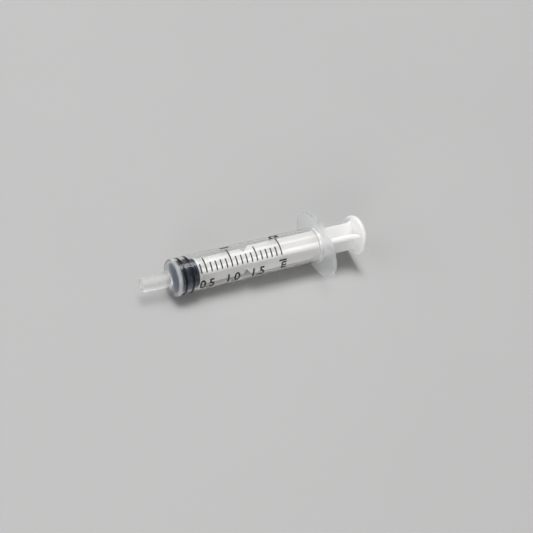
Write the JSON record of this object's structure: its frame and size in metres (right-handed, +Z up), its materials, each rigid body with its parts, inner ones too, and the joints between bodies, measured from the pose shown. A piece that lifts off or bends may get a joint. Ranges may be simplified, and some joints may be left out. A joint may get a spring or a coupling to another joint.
{
  "type": "luer slip syringe",
  "caption": "Disposable 2 ml syringe: clear barrel with slip nozzle, oval finger flange and printed scale, black rubber stopper, white finned plunger.",
  "frame": {"origin": "centre of the nozzle's tip end, on the syringe's axis", "axes": "+X along the syringe's axis from the nozzle to the thumb rest, +Y along the finger flange's long axis, +Z up"},
  "size_m": [0.071, 0.0222, 0.0142],
  "materials": {
    "clear_plastic": "clear polypropylene, glossy",
    "black_ink": "printed ink",
    "black_rubber": "smooth black rubber with a silicone film",
    "white_plastic": "white polypropylene, satin"
  },
  "bodies": {
    "barrel_body": {"barrel": "clear_plastic", "scale_print": "black_ink"},
    "stopper_body": {"plunger_stopper": "black_rubber"},
    "rod_body": {"plunger_rod": "white_plastic"}
  },
  "joints": [
    {"name": "plunger_slide", "type": "slide", "parent": "barrel_body", "child": "stopper_body", "axis": [1, 0, 0], "range_m": [0, 0.0405]},
    {"name": "rod_turn", "type": "hinge", "parent": "stopper_body", "child": "rod_body", "pos_m": [0.0135, 0, 0], "axis": [1, 0, 0], "continuous": true}
  ]
}
